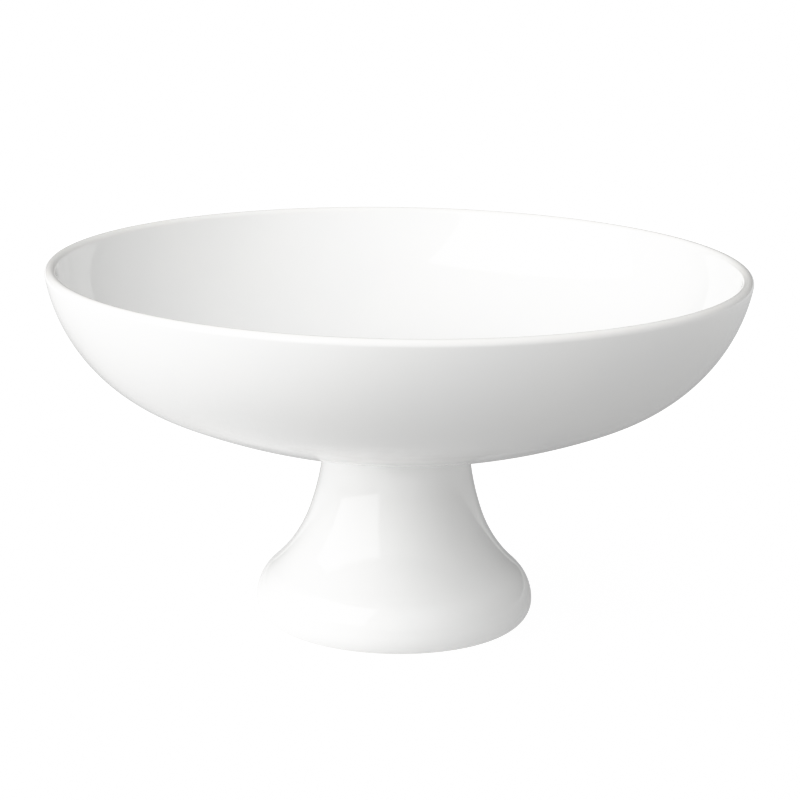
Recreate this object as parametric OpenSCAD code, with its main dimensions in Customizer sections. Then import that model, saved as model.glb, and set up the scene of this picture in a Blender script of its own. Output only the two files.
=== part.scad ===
// Pedestal serving bowl in glazed porcelain, also called a footed bowl or compote.
// A shallow round bowl stands on a hollow, flared pedestal with a rolled toe.
// Both are bodies of revolution, joined with slip and covered by one coat of glaze.
// Origin: centre of the foot, on the table. +Z is up. Millimetres and degrees.

/* [Overall] */
// Diameter over the rim
rim_d = 254; // [244:1:264]
// Height from the table to the crest of the rim
overall_h = 132.5; // [128:0.5:137]

/* [Bowl] */
// Height from the centre of the underside to the crest of the rim
bowl_h = 67.5; // [64:0.5:70]
// Radius of the arc that sweeps from the belly to the rim, on the outside
side_r = 62.5; // [58:0.5:66]
// Lean of the wall at the rim, from upright
rim_lean = 10.5; // [8:0.5:13]
// Thickness of the glazed wall, and of its round lip
wall = 4.2; // [3.8:0.1:4.8]
// Thickness of the glazed floor at its centre
floor_t = 5.2; // [4.8:0.1:5.8]

/* [Pedestal] */
// Diameter over the toe, the widest part of the foot
toe_d = 101.6; // [96:0.2:106]
// Radius of the toe where it rolls under to the table
toe_under_r = 8.5; // [7:0.1:9.5]
// Radius of the toe above its widest point
toe_top_r = 16; // [14:0.5:18]
// Tilt at which the toe hands over to the flare, up from level
flare_start = 48; // [46:1:50]
// Radius of the hollow curve of the flare
flare_r = 50; // [46:1:54]
// Tilt at which the flare hands over to the stem, up from level
stem_start = 19; // [17:1:21]
// Radius of the long hollow curve of the stem
stem_r = 97; // [92:1:105]
// Thickness of the pedestal's wall with its glaze
pedestal_wall = 4.5; // [4:0.1:4.8]
// Width of the flat, unglazed ring that rests on the table
dry_ring_w = 4.6; // [3:0.2:6]

/* [Joint] */
// Thickness of the slip between the bowl and the end of the stem
slip_t = 0.8; // [0.6:0.1:1]
// Gap between the locating ring under the bowl and the stem's bore
register_gap = 0.7; // [0.5:0.1:1.3]
// Width of the locating ring
register_w = 4; // [3:0.5:5]
// Depth of the locating ring below the centre of the underside
register_h = 4.5; // [3:0.5:6]
// Radius of the bead of slip pressed out inside the stem
bead_r = 1.2; // [1:0.1:1.5]

/* [Glaze] */
// Thickness of the glaze
glaze = 0.3; // [0.2:0.05:0.4]
// Where the glaze stops under the toe, up from straight down
glaze_edge = 10; // [6:1:20]

/* [Hidden] */

$fn = 180;
// Most that a chord may leave a true arc in an outline
chord_error = 0.015;

porcelain = "#f1eee6";
slip_white = "#ebe6db";
glaze_white = "#fbfbf9";

// Arcs are given by angles from straight down, outwards and up, round their own centre.
function toward(a) = [sin(a), -cos(a)];

// Bowl, outside. The lip is a half circle, and the side arc meets it on the lip's diameter.
lip_r = wall / 2;
lip_c = [rim_d / 2 - lip_r, overall_h - lip_r];
rim_a = 90 - rim_lean;
side_c = lip_c - (side_r - lip_r) * toward(rim_a);
// The underside arc is centred on the axis and meets the side arc where both have one tangent.
under_z = overall_h - bowl_h;
under_a = 2 * atan((side_c.y - side_r - under_z) / side_c.x);
under_r = side_r + side_c.x / sin(under_a);
under_c = [0, under_z + under_r];
// Bowl, inside. The floor arc meets the inside of the side arc in the same way.
side_in_r = side_r - wall;
floor_z = under_z + floor_t;
floor_a = 2 * atan((side_c.y - side_in_r - floor_z) / side_c.x);
floor_r = side_in_r + side_c.x / sin(floor_a);
floor_c = [0, floor_z + floor_r];

// Pedestal, outside, from the table up. Each arc starts where the one below it ends.
toe_under_c = [toe_d / 2 - toe_under_r, toe_under_r];
toe_top_c = [toe_d / 2 - toe_top_r, toe_under_r];
toe_a = 90 + flare_start;
flare_c = toe_top_c + (toe_top_r + flare_r) * toward(toe_a);
flare_a = flare_start - 90;
stem_a = stem_start - 90;
stem_c = flare_c + (stem_r - flare_r) * toward(stem_start + 90);
// The stem's outline runs on into the bowl's floor, where the joint cuts it.
stem_top_z = under_z + 0.8 * floor_t;
stem_top_a = -acos((stem_c.y - stem_top_z) / stem_r);
// Flat ring on the table, with a round inner edge as thick as the wall
dry_ring_in = toe_under_c.x - dry_ring_w;
edge_r = pedestal_wall / 2;

// Surfaces at the joint. The locating ring fits the stem's bore at the height of the underside.
joint_r = under_r - glaze + slip_t;
bore_r = stem_c.x - sqrt(pow(stem_r + pedestal_wall, 2) - pow(stem_c.y - under_z, 2));
register_r = bore_r - register_gap;
register_z = under_z - register_h;
joint_reach = 10;

// Points of an arc, without its last one, which starts the next stretch of the outline
function arc(c, r, a0, a1) =
  let (steps = ceil(abs(a1 - a0) / (2 * acos(1 - chord_error / r))))
  [for (i = [0:steps - 1]) c + r * toward(a0 + (a1 - a0) * i / steps)];

// Bowl, up the outside and down the inside. The skin is taken off every visible surface.
function bowl_outline(skin) = concat(
  arc(under_c, under_r - skin, 0, under_a),
  arc(side_c, side_r - skin, under_a, rim_a),
  arc(lip_c, lip_r - skin, rim_a, rim_a + 180),
  arc(side_c, side_in_r + skin, rim_a, floor_a),
  arc(floor_c, floor_r + skin, floor_a, 0),
  [[0, floor_z - skin]]
);

// Outside of the pedestal, up from an angle under the toe to the top of the stem
function flare_up(skin, start_a) = concat(
  arc(toe_under_c, toe_under_r - skin, start_a, 90),
  arc(toe_top_c, toe_top_r - skin, 90, toe_a),
  arc(flare_c, flare_r + skin, flare_a, stem_a),
  arc(stem_c, stem_r + skin, stem_a, stem_top_a),
  [stem_c + (stem_r + skin) * toward(stem_top_a)]
);

// Inside of the pedestal, down from the top of the stem and round the edge to the table
function bore_down() = concat(
  arc(stem_c, stem_r + pedestal_wall, stem_top_a, stem_a),
  arc(flare_c, flare_r + pedestal_wall, stem_a, flare_a),
  arc(toe_top_c, toe_top_r - pedestal_wall, toe_a, 90),
  arc(toe_under_c, toe_under_r - pedestal_wall, 90, 0),
  [[toe_under_c.x, pedestal_wall]],
  arc([dry_ring_in, edge_r], edge_r, 180, 360),
  [[dry_ring_in, 0], [toe_under_c.x, 0]]
);

// Locating ring that centres the bowl in the stem. It reaches up into the underside.
module register_section() {
  translate([register_r - register_w, register_z])
    square([register_w, register_h + lip_r]);
}

module bowl_section() {
  polygon(bowl_outline(glaze));
  register_section();
}

// Everything above the end of the stem
module over_joint() {
  polygon(concat(arc(under_c, joint_r, 0, under_a), [under_c]));
}

module pedestal_section() {
  difference() {
    polygon(concat(flare_up(glaze, 0), bore_down()));
    over_joint();
  }
}

// The pedestal's shape under the glaze, filled in to the axis
module pedestal_core() {
  polygon(concat(
    [[0, 0], [toe_under_c.x, 0]],
    flare_up(glaze, 0),
    [[0, stem_top_z]]
  ));
}

// Slip fills what the bowl and the pedestal leave round the locating ring, and ends in a bead.
module slip_section() {
  difference() {
    intersection() {
      union() {
        translate([register_r, register_z])
          square(joint_reach);
        translate([register_r + bead_r / 2, register_z])
          circle(bead_r);
      }
      pedestal_core();
    }
    bowl_section();
    pedestal_section();
  }
}

// The pedestal's shape with its glaze, which stops under the toe
module glazed_core() {
  edge = toe_under_c + (toe_under_r - glaze) * toward(glaze_edge);
  polygon(concat(
    [[0, edge.y], edge],
    flare_up(0, glaze_edge),
    [[0, stem_top_z]]
  ));
}

module glaze_section() {
  difference() {
    union() {
      polygon(bowl_outline(0));
      glazed_core();
    }
    polygon(bowl_outline(glaze));
    pedestal_core();
  }
}

module bowl() {
  color(porcelain)
    rotate_extrude()
      bowl_section();
}

module pedestal() {
  color(porcelain)
    rotate_extrude()
      pedestal_section();
}

module luting_slip() {
  color(slip_white)
    rotate_extrude()
      slip_section();
}

module glaze_coat() {
  color(glaze_white)
    rotate_extrude()
      glaze_section();
}

bowl();
pedestal();
luting_slip();
glaze_coat();
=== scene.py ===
"""Looks of a pedestal serving bowl in glazed white porcelain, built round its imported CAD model.

The object is a body of revolution about +Z. Each of its four pieces is turned from an outline
of arcs, which follows the CAD outline, and gets the finish that the CAD leaves out: the rolled
end of the glaze, the glaze that gathers at the neck, turning marks, and a hand-smoothed bead.
Lengths are in metres and angles in degrees, and an outline is a list of (radius, height).
"""
from math import acos, atan2, ceil, cos, degrees, pi, radians, sin, sqrt, tan

import bpy
from mathutils import Matrix, Vector, noise


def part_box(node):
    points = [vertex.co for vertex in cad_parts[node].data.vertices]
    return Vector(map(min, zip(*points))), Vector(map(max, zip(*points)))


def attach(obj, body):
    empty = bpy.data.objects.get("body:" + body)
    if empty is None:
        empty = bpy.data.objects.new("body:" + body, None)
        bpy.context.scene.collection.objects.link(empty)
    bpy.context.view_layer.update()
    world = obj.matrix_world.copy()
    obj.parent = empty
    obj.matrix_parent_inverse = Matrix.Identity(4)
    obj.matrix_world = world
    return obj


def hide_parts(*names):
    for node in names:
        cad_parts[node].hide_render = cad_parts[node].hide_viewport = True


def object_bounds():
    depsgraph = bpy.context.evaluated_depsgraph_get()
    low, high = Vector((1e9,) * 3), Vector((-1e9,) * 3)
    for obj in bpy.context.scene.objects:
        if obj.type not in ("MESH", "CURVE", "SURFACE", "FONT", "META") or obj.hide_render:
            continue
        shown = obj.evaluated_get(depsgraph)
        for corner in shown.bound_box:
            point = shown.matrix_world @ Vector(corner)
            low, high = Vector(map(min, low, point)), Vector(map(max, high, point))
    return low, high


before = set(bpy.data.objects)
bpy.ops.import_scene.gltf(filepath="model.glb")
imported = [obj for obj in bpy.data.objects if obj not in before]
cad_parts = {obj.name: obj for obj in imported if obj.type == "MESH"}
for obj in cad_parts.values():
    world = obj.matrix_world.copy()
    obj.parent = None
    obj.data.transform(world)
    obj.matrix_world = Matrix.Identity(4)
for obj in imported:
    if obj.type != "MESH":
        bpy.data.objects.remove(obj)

cad_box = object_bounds()
MM = 0.001

# ---------------------------------------------------------------- sizes
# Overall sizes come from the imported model.
RIM_R = cad_box[1].x
HEIGHT = cad_box[1].z
TOE_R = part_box("pedestal")[1].x

# The rest of the design has the same values as the CAD model's driving dimensions.
BOWL_H = 67.5 * MM
SIDE_R = 62.5 * MM
RIM_LEAN = 10.5
WALL = 4.2 * MM
FLOOR_T = 5.2 * MM
TOE_UNDER_R = 8.5 * MM
TOE_TOP_R = 16 * MM
FLARE_START = 48
FLARE_R = 50 * MM
STEM_START = 19
STEM_R = 97 * MM
PEDESTAL_WALL = 4.5 * MM
DRY_RING_W = 4.6 * MM
SLIP_T = 0.8 * MM
REGISTER_GAP = 0.7 * MM
REGISTER_W = 4 * MM
REGISTER_H = 4.5 * MM
BEAD_R = 1.2 * MM
GLAZE = 0.3 * MM
GLAZE_EDGE = 10

# Finish that only the looks have: the glaze in the neck's corner, the locating ring's edges, and
# the height over which the pedestal's relief grows
NECK_POOL_R = 0.6 * MM
RING_EDGE_R = 0.5 * MM
FLAT_ABOVE_RING = 6 * MM

# Mesh: steps round the axis, the longest chords, and how far a chord may leave its arc
SEGMENTS = 256
CHORD = 2.2 * MM
FINE_CHORD = 0.8 * MM
HIDDEN_CHORD = 5 * MM
CHORD_ERROR = 0.004 * MM
# A point this close to the axis is on it, and points this close together are one.
AXIS_X = 0.001 * MM
SAME_POINT = 0.0001 * MM


def toward(angle):
    """Unit vector at an angle from straight down, outwards and up."""
    return Vector((sin(radians(angle)), -cos(radians(angle))))


# Bowl
LIP_R = WALL / 2
LIP_C = Vector((RIM_R - LIP_R, HEIGHT - LIP_R))
RIM_A = 90 - RIM_LEAN
SIDE_C = LIP_C - (SIDE_R - LIP_R) * toward(RIM_A)
UNDER_Z = HEIGHT - BOWL_H
UNDER_A = degrees(2 * atan2(SIDE_C.y - SIDE_R - UNDER_Z, SIDE_C.x))
UNDER_R = SIDE_R + SIDE_C.x / sin(radians(UNDER_A))
UNDER_C = Vector((0, UNDER_Z + UNDER_R))
SIDE_IN_R = SIDE_R - WALL
FLOOR_Z = UNDER_Z + FLOOR_T
FLOOR_A = degrees(2 * atan2(SIDE_C.y - SIDE_IN_R - FLOOR_Z, SIDE_C.x))
FLOOR_R = SIDE_IN_R + SIDE_C.x / sin(radians(FLOOR_A))
FLOOR_C = Vector((0, FLOOR_Z + FLOOR_R))

# Pedestal
TOE_OUT_R = TOE_R + GLAZE
TOE_UNDER_C = Vector((TOE_OUT_R - TOE_UNDER_R, TOE_UNDER_R))
TOE_TOP_C = Vector((TOE_OUT_R - TOE_TOP_R, TOE_UNDER_R))
TOE_A = 90 + FLARE_START
FLARE_C = TOE_TOP_C + (TOE_TOP_R + FLARE_R) * toward(TOE_A)
FLARE_A = FLARE_START - 90
STEM_A = STEM_START - 90
STEM_C = FLARE_C + (STEM_R - FLARE_R) * toward(STEM_START + 90)
DRY_RING_IN = TOE_UNDER_C.x - DRY_RING_W
EDGE_R = PEDESTAL_WALL / 2

# Joint
JOINT_R = UNDER_R - GLAZE + SLIP_T
BORE_R = STEM_C.x - sqrt((STEM_R + PEDESTAL_WALL) ** 2 - (STEM_C.y - UNDER_Z) ** 2)
REGISTER_R = BORE_R - REGISTER_GAP
REGISTER_Z = UNDER_Z - REGISTER_H


# ---------------------------------------------------------------- outlines
def arc(centre, radius, start, end, longest=CHORD):
    """Points of an arc, both ends included. Chords stay short, and close to the arc."""
    step = min(2 * acos(1 - CHORD_ERROR / radius), longest / radius)
    steps = max(2, ceil(radians(abs(end - start)) / step))
    return [centre + radius * toward(start + (end - start) * i / steps) for i in range(steps + 1)]


def chain(*runs):
    """One outline from runs of points, without the points that repeat."""
    points = []
    for run in runs:
        for p in run:
            if not points or (p - points[-1]).length > SAME_POINT:
                points.append(p)
    if (points[0] - points[-1]).length < SAME_POINT:
        points.pop()
    return points


def angle_at(centre, point):
    """Angle of a point round a centre, in toward's terms."""
    return degrees(atan2(point.x - centre.x, centre.y - point.y))


def crossing(c0, r0, c1, r1):
    """The lower of the two points where two circles cross."""
    gap = c1 - c0
    along = (gap.length ** 2 + r0 ** 2 - r1 ** 2) / (2 * gap.length)
    aside = sqrt(r0 ** 2 - along ** 2)
    unit = gap.normalized()
    middle = c0 + along * unit
    offset = aside * Vector((-unit.y, unit.x))
    return min(middle + offset, middle - offset, key=lambda p: p.y)


def rounded(points, radius):
    """A run of straight lines with each corner rounded."""
    run = [points[0]]
    for before, corner, after in zip(points, points[1:], points[2:]):
        u = (before - corner).normalized()
        v = (after - corner).normalized()
        half = acos(u.dot(v)) / 2
        centre = corner + (u + v).normalized() * radius / sin(half)
        start = angle_at(centre, corner + u * radius / tan(half))
        turn = (angle_at(centre, corner + v * radius / tan(half)) - start + 180) % 360 - 180
        run += arc(centre, radius, start, start + turn)
    return run + [points[-1]]


def under_point(x, radius):
    """Point of an arc about the underside's centre, at a distance x from the axis."""
    return Vector((x, UNDER_C.y - sqrt(radius ** 2 - x ** 2)))


def glaze_outline():
    """The glaze: over the inside, the lip and the outside of the bowl, and down the pedestal."""
    pool_c = crossing(UNDER_C, UNDER_R + NECK_POOL_R, STEM_C, STEM_R - NECK_POOL_R)
    pool_top = angle_at(UNDER_C, pool_c)
    pool_low = angle_at(STEM_C, pool_c)
    corner = crossing(UNDER_C, UNDER_R - GLAZE, STEM_C, STEM_R + GLAZE)
    edge_c = TOE_UNDER_C + (TOE_UNDER_R - GLAZE / 2) * toward(GLAZE_EDGE)
    return chain(
        arc(FLOOR_C, FLOOR_R, 0, FLOOR_A),
        arc(SIDE_C, SIDE_IN_R, FLOOR_A, RIM_A),
        arc(LIP_C, LIP_R, RIM_A + 180, RIM_A),
        arc(SIDE_C, SIDE_R, RIM_A, UNDER_A),
        arc(UNDER_C, UNDER_R, UNDER_A, pool_top),
        arc(pool_c, NECK_POOL_R, pool_top - 180, pool_low),
        arc(STEM_C, STEM_R, pool_low, STEM_A),
        arc(FLARE_C, FLARE_R, STEM_A, FLARE_A),
        arc(TOE_TOP_C, TOE_TOP_R, TOE_A, 90),
        arc(TOE_UNDER_C, TOE_UNDER_R, 90, GLAZE_EDGE),
        arc(edge_c, GLAZE / 2, GLAZE_EDGE, GLAZE_EDGE - 180),
        arc(TOE_UNDER_C, TOE_UNDER_R - GLAZE, GLAZE_EDGE, 90, HIDDEN_CHORD),
        arc(TOE_TOP_C, TOE_TOP_R - GLAZE, 90, TOE_A, HIDDEN_CHORD),
        arc(FLARE_C, FLARE_R + GLAZE, FLARE_A, STEM_A, HIDDEN_CHORD),
        arc(STEM_C, STEM_R + GLAZE, STEM_A, angle_at(STEM_C, corner), HIDDEN_CHORD),
        arc(UNDER_C, UNDER_R - GLAZE, angle_at(UNDER_C, corner), UNDER_A, HIDDEN_CHORD),
        arc(SIDE_C, SIDE_R - GLAZE, UNDER_A, RIM_A, HIDDEN_CHORD),
        arc(LIP_C, LIP_R - GLAZE, RIM_A, RIM_A + 180, HIDDEN_CHORD),
        arc(SIDE_C, SIDE_IN_R + GLAZE, RIM_A, FLOOR_A, HIDDEN_CHORD),
        arc(FLOOR_C, FLOOR_R + GLAZE, FLOOR_A, 0, HIDDEN_CHORD),
    )


def bowl_outline():
    """The bowl's body, with the locating ring that sits in the stem."""
    clay_r = UNDER_R - GLAZE
    ring_in = REGISTER_R - REGISTER_W
    root = under_point(ring_in - 2 * RING_EDGE_R, clay_r)
    outer = under_point(REGISTER_R, clay_r)
    ring = rounded([
        root,
        under_point(ring_in, clay_r),
        Vector((ring_in, REGISTER_Z)),
        Vector((REGISTER_R, REGISTER_Z)),
        outer,
    ], RING_EDGE_R)
    return chain(
        arc(UNDER_C, clay_r, 0, angle_at(UNDER_C, root), FINE_CHORD),
        ring,
        arc(UNDER_C, clay_r, angle_at(UNDER_C, outer), UNDER_A, HIDDEN_CHORD),
        arc(SIDE_C, SIDE_R - GLAZE, UNDER_A, RIM_A, HIDDEN_CHORD),
        arc(LIP_C, LIP_R - GLAZE, RIM_A, RIM_A + 180, HIDDEN_CHORD),
        arc(SIDE_C, SIDE_IN_R + GLAZE, RIM_A, FLOOR_A, HIDDEN_CHORD),
        arc(FLOOR_C, FLOOR_R + GLAZE, FLOOR_A, 0, HIDDEN_CHORD),
    )


def pedestal_outline():
    """The pedestal's body, up the outside and down the hollow to the dry ring."""
    skin_top = crossing(UNDER_C, JOINT_R, STEM_C, STEM_R + GLAZE)
    bore_top = crossing(UNDER_C, JOINT_R, STEM_C, STEM_R + PEDESTAL_WALL)
    return chain(
        arc(TOE_UNDER_C, TOE_UNDER_R - GLAZE, 0, 90),
        arc(TOE_TOP_C, TOE_TOP_R - GLAZE, 90, TOE_A, HIDDEN_CHORD),
        arc(FLARE_C, FLARE_R + GLAZE, FLARE_A, STEM_A, HIDDEN_CHORD),
        arc(STEM_C, STEM_R + GLAZE, STEM_A, angle_at(STEM_C, skin_top), HIDDEN_CHORD),
        arc(UNDER_C, JOINT_R, angle_at(UNDER_C, skin_top), angle_at(UNDER_C, bore_top)),
        arc(STEM_C, STEM_R + PEDESTAL_WALL, angle_at(STEM_C, bore_top), STEM_A, FINE_CHORD),
        arc(FLARE_C, FLARE_R + PEDESTAL_WALL, STEM_A, FLARE_A, FINE_CHORD),
        arc(TOE_TOP_C, TOE_TOP_R - PEDESTAL_WALL, TOE_A, 90, FINE_CHORD),
        arc(TOE_UNDER_C, TOE_UNDER_R - PEDESTAL_WALL, 90, 0, FINE_CHORD),
        arc(Vector((DRY_RING_IN, EDGE_R)), EDGE_R, 180, 360, FINE_CHORD),
        rounded([
            Vector((DRY_RING_IN, 0)),
            Vector((TOE_UNDER_C.x, 0)),
            Vector((TOE_UNDER_C.x, GLAZE)),
        ], GLAZE / 2),
    )


def slip_outline():
    """The slip between the bowl and the end of the stem, which ends in a bead inside."""
    clay_r = UNDER_R - GLAZE
    bore_r = STEM_R + PEDESTAL_WALL
    over_skin = crossing(UNDER_C, clay_r, STEM_C, STEM_R + GLAZE)
    under_skin = crossing(UNDER_C, JOINT_R, STEM_C, STEM_R + GLAZE)
    bore_top = crossing(UNDER_C, JOINT_R, STEM_C, bore_r)
    ring_top = under_point(REGISTER_R, clay_r)
    ring_edge_c = Vector((REGISTER_R - RING_EDGE_R, REGISTER_Z + RING_EDGE_R))
    bead_c = Vector((REGISTER_R + BEAD_R / 2, REGISTER_Z))
    bead_end = crossing(bead_c, BEAD_R, STEM_C, bore_r)
    return chain(
        arc(UNDER_C, clay_r, angle_at(UNDER_C, over_skin), angle_at(UNDER_C, ring_top)),
        arc(ring_edge_c, RING_EDGE_R, 90, 0),
        arc(bead_c, BEAD_R, -90, angle_at(bead_c, bead_end), FINE_CHORD),
        arc(STEM_C, bore_r, angle_at(STEM_C, bead_end), angle_at(STEM_C, bore_top)),
        arc(UNDER_C, JOINT_R, angle_at(UNDER_C, bore_top), angle_at(UNDER_C, under_skin)),
    )


# ---------------------------------------------------------------- turning
def inward(points, closed):
    """For each point of an outline, the unit vector into the material. The second value is the
    way that the outline runs, 1 where the material is on its left and -1 where it's on its right."""
    count = len(points)
    area = sum(p.cross(points[(i + 1) % count]) for i, p in enumerate(points))
    side = 1 if area > 0 else -1
    vectors = []
    for i in range(count):
        before = points[i - 1] if closed or i > 0 else points[i]
        after = points[(i + 1) % count] if closed or i < count - 1 else points[i]
        along = (after - before).normalized()
        vectors.append(side * Vector((-along.y, along.x)))
    return vectors, side


def turned(name, points, relief):
    """A piece turned about +Z from its outline. Relief is how deep the surface sinks at a place."""
    closed = points[0].x > AXIS_X
    vectors, side = inward(points, closed)
    vertices = []
    rows = []
    for p, into in zip(points, vectors):
        spots = 1 if p.x <= AXIS_X else SEGMENTS
        rows.append([len(vertices) + i for i in range(spots)])
        for i in range(spots):
            angle = 2 * pi * i / SEGMENTS
            ring = Vector((p.x * cos(angle), p.x * sin(angle), p.y))
            q = p + into * relief(ring, p)
            radius = q.x if spots > 1 else 0
            vertices.append((radius * cos(angle), radius * sin(angle), q.y))
    faces = []
    pairs = list(zip(rows, rows[1:] + rows[:1])) if closed else list(zip(rows, rows[1:]))
    for low, high in pairs:
        for i in range(SEGMENTS):
            j = (i + 1) % SEGMENTS
            loop = [low[i % len(low)], low[j % len(low)], high[j % len(high)], high[i % len(high)]]
            loop = list(dict.fromkeys(loop))
            faces.append(loop if side > 0 else loop[::-1])
    mesh = bpy.data.meshes.new(name)
    mesh.from_pydata(vertices, [], faces)
    mesh.shade_smooth()
    piece = bpy.data.objects.new(name, mesh)
    bpy.context.scene.collection.objects.link(piece)
    return piece


def waves(place, length, depth, seed):
    """Depth of a soft, uneven surface whose waves are about this long."""
    return depth * (0.5 + 0.5 * noise.noise(place / length + Vector((seed, 0, 0))))


def rings(distance, length, depth):
    """Depth of the rings that a turning tool leaves."""
    return depth * (0.5 + 0.5 * sin(2 * pi * distance / length))


def glaze_relief(place, p):
    """A soft swell, and the faintest trace of the clay's turning rings."""
    swell = waves(place, length=42 * MM, depth=0.02 * MM, seed=3)
    return swell + rings(p.x + p.y, length=11 * MM, depth=0.003 * MM)


def bowl_relief(place, p):
    """Close turning rings on the bare underside."""
    turning = rings(p.x, length=2.4 * MM, depth=0.04 * MM)
    return turning + waves(place, length=9 * MM, depth=0.03 * MM, seed=11)


def pedestal_relief(place, p):
    """The uneven wall of a slip casting, which fades out towards the flat dry ring."""
    uneven = waves(place, length=14 * MM, depth=0.16 * MM, seed=19)
    return min(1, p.y / FLAT_ABOVE_RING) * (uneven + rings(p.y, length=5.5 * MM, depth=0.06 * MM))


def slip_relief(place, p):
    """Hand-smoothed slip, as uneven as a fingertip leaves it."""
    return waves(place, length=6 * MM, depth=0.22 * MM, seed=29)


# ---------------------------------------------------------------- materials
# Where a Mix node keeps its two colours and its mixed colour
MIX_COLOURS = slice(6, 8)
MIX_RESULT = 2

# Glaze: its colours, where it is thin, the painted light towards the neck's corner, and its gloss
GLAZE_WARM = (0.905, 0.904, 0.894)
GLAZE_COOL = (0.893, 0.894, 0.887)
# The next colour is painted light: a lighter white for the shaded corner at the neck
GLAZE_NECK_LIGHT = (0.956, 0.957, 0.948)
GLAZE_THIN = (0.885, 0.858, 0.81)
THIN_FROM = 0.2 * MM
THIN_REACH = 2.4 * MM
THIN_ON_LIP = 0.6
THIN_ON_FOOT = 0.7
# Painted light near the neck: the distances from its corner at which the lighter white is full and at
# which it is gone
NECK_LIGHT_FROM = 1 * MM
NECK_LIGHT_REACH = 14 * MM
LEAST_ROUGHNESS = 0.01
PATCH_ROUGHNESS = 0.012
FINE_ROUGHNESS = 0.008
GLAZE_IOR = 1.5

# Bare clay: its colours, the height up to which it is rubbed, and the pitch of its turning marks
CLAY_LIGHT = (0.9, 0.882, 0.845)
CLAY_DARK = (0.845, 0.82, 0.775)
CLAY_SPECK = (0.7, 0.66, 0.6)
CLAY_RUBBED = (0.66, 0.64, 0.61)
RUBBED_FROM = 0.05 * MM
RUBBED_REACH = 0.7 * MM
MARK_PITCH = 0.7 * MM

# Slip: its colours
SLIP_LIGHT = (0.875, 0.85, 0.8)
SLIP_DARK = (0.8, 0.765, 0.7)


def new_material(name):
    """A material with its Principled shader, its node tree, and object coordinates."""
    material = bpy.data.materials.new(name)
    material.use_nodes = True
    nodes = material.node_tree.nodes
    shader = nodes["Principled BSDF"]
    coords = nodes.new("ShaderNodeTexCoord").outputs["Object"]
    return material, shader, material.node_tree, coords


def link(tree, source, target):
    tree.links.new(source, target)


def cloud(tree, coords, size, detail=2.0):
    """Noise from 0 to 1 with features of about this size."""
    node = tree.nodes.new("ShaderNodeTexNoise")
    node.inputs["Scale"].default_value = 1 / size
    node.inputs["Detail"].default_value = detail
    link(tree, coords, node.inputs["Vector"])
    return node.outputs["Fac"]


def remap(tree, value, start, end, low=0.0, high=1.0, curve="SMOOTHSTEP"):
    """A number that goes from low to high as a value goes from start to end, easing in and out."""
    node = tree.nodes.new("ShaderNodeMapRange")
    node.interpolation_type = curve
    for socket, number in zip(("From Min", "From Max", "To Min", "To Max"), (start, end, low, high)):
        node.inputs[socket].default_value = number
    link(tree, value, node.inputs["Value"])
    return node.outputs["Result"]


def calc(tree, operation, a, b=0.0):
    """Arithmetic on sockets or numbers."""
    node = tree.nodes.new("ShaderNodeMath")
    node.operation = operation
    for socket, value in zip(node.inputs, (a, b)):
        if isinstance(value, (int, float)):
            socket.default_value = value
        else:
            link(tree, value, socket)
    return node.outputs["Value"]


def tint(tree, factor, first, second):
    """A mix of two colours, given as numbers or sockets."""
    node = tree.nodes.new("ShaderNodeMix")
    node.data_type = "RGBA"
    link(tree, factor, node.inputs["Factor"])
    for socket, value in zip(node.inputs[MIX_COLOURS], (first, second)):
        if isinstance(value, tuple):
            socket.default_value = (*value, 1)
        else:
            link(tree, value, socket)
    return node.outputs[MIX_RESULT]


def bumped(tree, height, depth, below=None):
    """A normal raised by a height from 0 to 1, on top of another normal."""
    node = tree.nodes.new("ShaderNodeBump")
    node.inputs["Distance"].default_value = depth
    link(tree, height, node.inputs["Height"])
    if below is not None:
        link(tree, below, node.inputs["Normal"])
    return node.outputs["Normal"]


def diagonal(tree, a, b):
    """The diagonal of a rectangle with sides a and b."""
    squares = calc(tree, "ADD", calc(tree, "MULTIPLY", a, a), calc(tree, "MULTIPLY", b, b))
    return calc(tree, "SQRT", squares)


def split_axes(tree, coords):
    """The X, Y and Z of some coordinates."""
    node = tree.nodes.new("ShaderNodeSeparateXYZ")
    link(tree, coords, node.inputs["Vector"])
    return [node.outputs[axis] for axis in "XYZ"]


def radius_and_height(tree, coords):
    """Distance from the axis, and height above the table."""
    x, y, z = split_axes(tree, coords)
    return diagonal(tree, x, y), z


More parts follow.
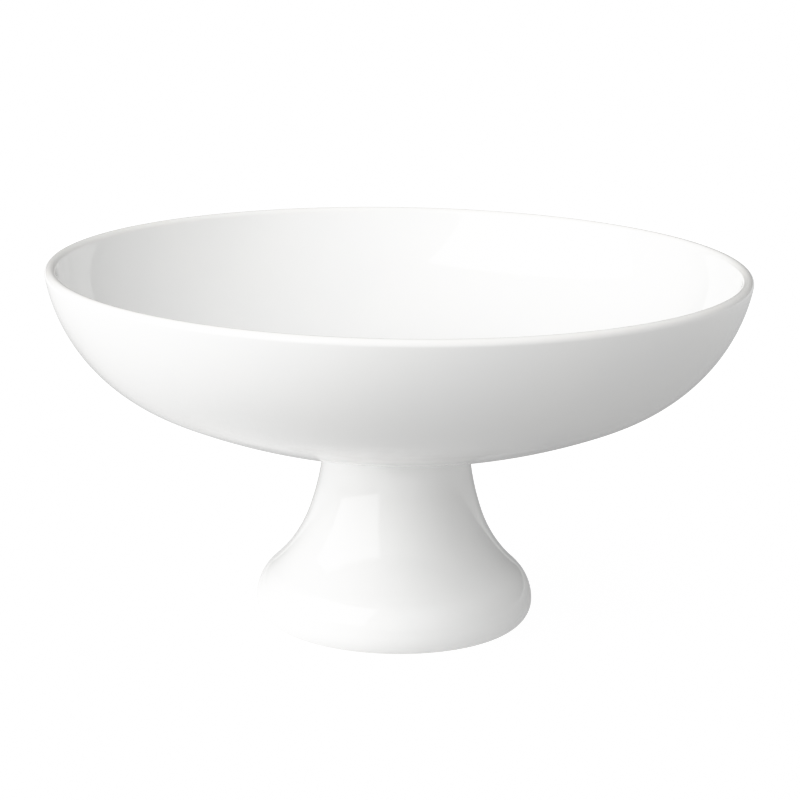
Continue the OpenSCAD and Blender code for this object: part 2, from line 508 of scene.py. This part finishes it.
def glaze_material():
    """Glossy white that is thin on the lip and at its lower edge, with painted light that makes it
    whiter towards the neck's corner, where shade falls.
    """
    material, shader, tree, coords = new_material("gloss_white_glaze")
    radius, height = radius_and_height(tree, coords)
    across = calc(tree, "SUBTRACT", radius, STEM_C.x - STEM_R)
    above = calc(tree, "SUBTRACT", height, UNDER_Z)
    # Painted light: the glaze is whiter towards the neck's corner, standing for light that the
    # translucent body carries into the corner's shade
    neck_light = remap(tree, diagonal(tree, across, above), NECK_LIGHT_FROM, NECK_LIGHT_REACH, 1, 0)
    lip = remap(tree, height, HEIGHT - THIN_REACH, HEIGHT - THIN_FROM, 0, THIN_ON_LIP)
    foot = remap(tree, height, THIN_FROM, THIN_REACH, THIN_ON_FOOT, 0)
    thin = calc(tree, "MULTIPLY", calc(tree, "MAXIMUM", lip, foot), cloud(tree, coords, size=9 * MM))
    patches = remap(tree, cloud(tree, coords, size=38 * MM, detail=3), 0.3, 0.7)
    white = tint(tree, patches, GLAZE_WARM, GLAZE_COOL)
    neck_lit = tint(tree, neck_light, white, GLAZE_NECK_LIGHT)
    link(tree, tint(tree, thin, neck_lit, GLAZE_THIN), shader.inputs["Base Color"])
    broad = calc(tree, "MULTIPLY", cloud(tree, coords, size=16 * MM), PATCH_ROUGHNESS)
    fine = calc(tree, "MULTIPLY", cloud(tree, coords, size=0.9 * MM, detail=3), FINE_ROUGHNESS)
    roughness = calc(tree, "ADD", calc(tree, "ADD", broad, LEAST_ROUGHNESS), fine)
    link(tree, roughness, shader.inputs["Roughness"])
    swell = bumped(tree, cloud(tree, coords, size=14 * MM, detail=1), depth=0.008 * MM)
    ripple = bumped(tree, cloud(tree, coords, size=2.2 * MM, detail=1), depth=0.0008 * MM, below=swell)
    link(tree, ripple, shader.inputs["Normal"])
    shader.inputs["IOR"].default_value = GLAZE_IOR
    return material


def clay_material():
    """Bare fired porcelain: matt, finely grained, and rubbed grey where it stands."""
    material, shader, tree, coords = new_material("bare_porcelain")
    radius, height = radius_and_height(tree, coords)
    body = tint(tree, cloud(tree, coords, size=7 * MM, detail=4), CLAY_LIGHT, CLAY_DARK)
    grain = cloud(tree, coords, size=0.28 * MM)
    speckled = tint(tree, remap(tree, grain, 0.62, 0.78, 0, 0.5), body, CLAY_SPECK)
    low = remap(tree, height, RUBBED_FROM, RUBBED_REACH, 1, 0)
    smears = remap(tree, cloud(tree, coords, size=6 * MM, detail=5), 0.38, 0.72, 0.05, 0.5)
    rubbed = calc(tree, "MULTIPLY", low, smears)
    link(tree, tint(tree, rubbed, speckled, CLAY_RUBBED), shader.inputs["Base Color"])
    link(tree, remap(tree, grain, 0.3, 0.7, 0.62, 0.82), shader.inputs["Roughness"])
    turning = calc(tree, "SINE", calc(tree, "MULTIPLY", radius, 2 * pi / MARK_PITCH))
    patchy = calc(tree, "MULTIPLY", turning, remap(tree, cloud(tree, coords, size=12 * MM), 0.4, 0.6))
    marks = bumped(tree, patchy, depth=0.008 * MM)
    link(tree, bumped(tree, grain, depth=0.03 * MM, below=marks), shader.inputs["Normal"])
    return material


def slip_material():
    """Fired slip, creamier than the body, with the streaks of the sponge that smoothed it."""
    material, shader, tree, coords = new_material("fired_slip")
    radius, height = radius_and_height(tree, coords)
    streak = tree.nodes.new("ShaderNodeCombineXYZ")
    link(tree, radius, streak.inputs["X"])
    link(tree, height, streak.inputs["Y"])
    streaks = cloud(tree, streak.outputs["Vector"], size=0.35 * MM)
    patches = cloud(tree, coords, size=2.5 * MM, detail=4)
    link(tree, tint(tree, patches, SLIP_LIGHT, SLIP_DARK), shader.inputs["Base Color"])
    link(tree, remap(tree, patches, 0.3, 0.7, 0.7, 0.88), shader.inputs["Roughness"])
    ridges = bumped(tree, streaks, depth=0.05 * MM)
    grit = bumped(tree, cloud(tree, coords, size=0.5 * MM, detail=3), depth=0.05 * MM, below=ridges)
    link(tree, grit, shader.inputs["Normal"])
    return material


# ---------------------------------------------------------------- pieces
def add_piece(name, outline, relief, material, node):
    """Turns a piece, which rides with the object and stands for a CAD node."""
    piece = turned(name, outline, relief)
    piece.data.materials.append(material)
    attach(piece, "root")
    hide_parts(node)


clay = clay_material()
add_piece("glaze_skin", glaze_outline(), glaze_relief, glaze_material(), "glaze_coat")
add_piece("bowl_body", bowl_outline(), bowl_relief, clay, "bowl")
add_piece("pedestal_body", pedestal_outline(), pedestal_relief, clay, "pedestal")
add_piece("slip_joint", slip_outline(), slip_relief, slip_material(), "luting_slip")


# ---------------------------------------------------------------- studio
FLOOR_RADIUS = 12.0
FLOOR_SIDES = 96
FLOOR_GREY = 0.25
FLOOR_SEEN = 1.0

# Light that the floor throws at the object. The close and near zones are round, and fade from the
# object outwards: their strengths are (left, right). The other two grow outwards on their own
# side: their strengths are (front, back). A blend is half the width between two strengths.
CLOSE_GLOW = (0.66, 0.03)
NEAR_GLOW = (0.63, 0.25)
LEFT_GLOW = (0.84, 0.75)
RIGHT_GLOW = (0.35, 0.55)
CLOSE_REACH = 0.12
NEAR_REACH = 0.3
NEAR_BLEND = 0.08
SIDE_REACH = 0.4
SIDE_BLEND = 0.15

# Light from the room on each side
ROOM_LEFT = 0.98
ROOM_RIGHT = 0.44
ROOM_FRONT = 1.45
ROOM_BACK = 0.25
ROOM_UP = 1.11
BACKDROP_SEEN = 1.25

# Key light: the point that it is placed round, which is just above the bowl's floor, its azimuth,
# elevation and distance from there, the azimuth and elevation that its back looks at, its size in
# metres, and its radiance
KEY_AROUND = Vector((0, 0, 80 * MM))
KEY_PLACE = (68.7, 22.8, 1.96)
KEY_AWAY = (34, 44)
KEY_WIDTH = 2.74
KEY_HEIGHT = 1.61
KEY_RADIANCE = 1.8


def ramp(tree, value, start, end, low=0.0, high=1.0):
    """A number that goes straight from low to high as a value goes from start to end."""
    return remap(tree, value, start, end, low, high, "LINEAR")


def seen_or_lit(tree, seen, lit):
    """One strength for what the camera sees, and another for the light thrown at the object."""
    node = tree.nodes.new("ShaderNodeMix")
    link(tree, tree.nodes.new("ShaderNodeLightPath").outputs["Is Camera Ray"], node.inputs["Factor"])
    link(tree, lit, node.inputs["A"])
    node.inputs["B"].default_value = seen
    return node.outputs["Result"]


def floor_material():
    """A white sweep. It throws less light at the object than it shows, most of it on the left."""
    material = bpy.data.materials.new("studio_white")
    material.use_nodes = True
    tree = material.node_tree
    tree.nodes.clear()
    coords = tree.nodes.new("ShaderNodeTexCoord").outputs["Object"]
    x, y = split_axes(tree, coords)[:2]
    distance = diagonal(tree, x, y)
    zones = (
        (ramp(tree, distance, CLOSE_REACH, 0), x, NEAR_BLEND, CLOSE_GLOW),
        (ramp(tree, distance, NEAR_REACH, 0), x, NEAR_BLEND, NEAR_GLOW),
        (ramp(tree, x, 0, -SIDE_REACH), y, SIDE_BLEND, LEFT_GLOW),
        (ramp(tree, x, 0, SIDE_REACH), y, SIDE_BLEND, RIGHT_GLOW),
    )
    glow = 0.0
    for zone, across, blend, strengths in zones:
        part = calc(tree, "MULTIPLY", zone, ramp(tree, across, -blend, blend, *strengths))
        glow = calc(tree, "ADD", part, glow)
    emission = tree.nodes.new("ShaderNodeEmission")
    link(tree, seen_or_lit(tree, FLOOR_SEEN, glow), emission.inputs["Strength"])
    diffuse = tree.nodes.new("ShaderNodeBsdfDiffuse")
    diffuse.inputs["Color"].default_value = (FLOOR_GREY, FLOOR_GREY, FLOOR_GREY, 1)
    both = tree.nodes.new("ShaderNodeAddShader")
    link(tree, diffuse.outputs["BSDF"], both.inputs[0])
    link(tree, emission.outputs["Emission"], both.inputs[1])
    out = tree.nodes.new("ShaderNodeOutputMaterial")
    link(tree, both.outputs["Shader"], out.inputs["Surface"])
    return material


def add_floor():
    """A wide, pale floor at the height of the table."""
    mesh = bpy.data.meshes.new("studio_floor")
    turns = [2 * pi * i / FLOOR_SIDES for i in range(FLOOR_SIDES)]
    corners = [(FLOOR_RADIUS * cos(a), FLOOR_RADIUS * sin(a), 0) for a in turns]
    mesh.from_pydata(corners, [], [list(range(FLOOR_SIDES))])
    mesh.materials.append(floor_material())
    floor = bpy.data.objects.new("studio_floor", mesh)
    bpy.context.scene.collection.objects.link(floor)


def light_room():
    """A soft room, which is bright in front, on the left and above, before a white backdrop."""
    world = bpy.data.worlds.new("studio_room")
    bpy.context.scene.world = world
    world.use_nodes = True
    tree = world.node_tree
    tree.nodes.clear()
    x, y, z = split_axes(tree, tree.nodes.new("ShaderNodeTexCoord").outputs["Generated"])
    total = 0.0
    for value, below, above in ((x, ROOM_LEFT, ROOM_RIGHT), (y, ROOM_FRONT, ROOM_BACK), (z, 0, ROOM_UP)):
        side = calc(tree, "GREATER_THAN", value, 0)
        strength = calc(tree, "ADD", below, calc(tree, "MULTIPLY", side, above - below))
        part = calc(tree, "MULTIPLY", calc(tree, "MULTIPLY", value, value), strength)
        total = calc(tree, "ADD", part, total)
    background = tree.nodes.new("ShaderNodeBackground")
    link(tree, seen_or_lit(tree, BACKDROP_SEEN, total), background.inputs["Strength"])
    out = tree.nodes.new("ShaderNodeOutputWorld")
    link(tree, background.outputs["Background"], out.inputs["Surface"])


def compass(azimuth, elevation, distance):
    """The way to a place round the object. Azimuth 0 is the front, and it grows towards the left."""
    level = distance * cos(radians(elevation))
    return Vector((
        -level * sin(radians(azimuth)),
        -level * cos(radians(azimuth)),
        distance * sin(radians(elevation)),
    ))


def add_softbox(name, around, place, away, width, height, radiance):
    """A softbox with the given radiance. Place is its azimuth, elevation and distance from the
    point around, and away is the azimuth and elevation that its back looks at."""
    lamp = bpy.data.lights.new(name, "AREA")
    lamp.shape = "RECTANGLE"
    lamp.size = width
    lamp.size_y = height
    lamp.energy = radiance * pi * width * height
    box = bpy.data.objects.new(name, lamp)
    bpy.context.scene.collection.objects.link(box)
    box.location = around + compass(*place)
    box.rotation_euler = compass(*away, 1).to_track_quat("Z", "Y").to_euler()
    box.visible_camera = False


# ---------------------------------------------------------------- camera
# Its distance and elevation from the middle of the rim, the way it looks, and its lens
CAMERA_DISTANCE = 8 * RIM_R
CAMERA_ELEVATION = 10.79
CAMERA_PITCH = -13.53
CAMERA_YAW = 0.058
CAMERA_ROLL = 0.956
CAMERA_LENS = 126.86
CAMERA_SENSOR = 36
CAMERA_FAR = 100

# Tones are softened from the shoulder up to the light that is shown as white. The second is as far
# past 1 as the shoulder is short of it, so that the parabola between them ends level.
SHOULDER = 0.8
WHITE_AT = 2 - SHOULDER
TONE_STEPS = 12


def add_camera():
    """A long lens a metre away, aimed below the rim, and rolled a little as a hand-held one is."""
    up = radians(CAMERA_ELEVATION)
    pitch = radians(CAMERA_PITCH)
    yaw = radians(CAMERA_YAW)
    roll = radians(CAMERA_ROLL)
    ahead = Vector((sin(yaw) * cos(pitch), cos(yaw) * cos(pitch), sin(pitch)))
    right = Vector((cos(yaw), -sin(yaw), 0))
    over = right.cross(ahead)
    rolled_right = cos(roll) * right + sin(roll) * over
    rolled_over = cos(roll) * over - sin(roll) * right
    data = bpy.data.cameras.new("camera")
    data.sensor_width = CAMERA_SENSOR
    data.lens = CAMERA_LENS
    data.clip_end = CAMERA_FAR
    camera = bpy.data.objects.new("camera", data)
    bpy.context.scene.collection.objects.link(camera)
    axes = Matrix((rolled_right, rolled_over, -ahead)).transposed()
    place = Vector((0, -CAMERA_DISTANCE * cos(up), HEIGHT + CAMERA_DISTANCE * sin(up)))
    camera.matrix_world = Matrix.Translation(place) @ axes.to_4x4()
    bpy.context.scene.camera = camera


def soften_highlights():
    """Rolls the brightest tones off to white along a parabola, as a camera does."""
    settings = bpy.context.scene.view_settings
    settings.view_transform = "Standard"
    settings.use_curve_mapping = True
    mapping = settings.curve_mapping
    mapping.clip_max_x = WHITE_AT
    mapping.extend = "HORIZONTAL"
    for channel in range(3):
        tones = mapping.curves[channel]
        tones.points[-1].location = (WHITE_AT, 1)
        for i in range(TONE_STEPS):
            past = (WHITE_AT - SHOULDER) * i / TONE_STEPS
            tone = SHOULDER + past
            tones.points.new(tone, tone - past ** 2 / (2 * (WHITE_AT - SHOULDER)))
        for point in tones.points:
            point.handle_type = "VECTOR"
    mapping.update()


add_floor()
light_room()
add_softbox("key_softbox", KEY_AROUND, KEY_PLACE, KEY_AWAY, KEY_WIDTH, KEY_HEIGHT, KEY_RADIANCE)
add_camera()
soften_highlights()
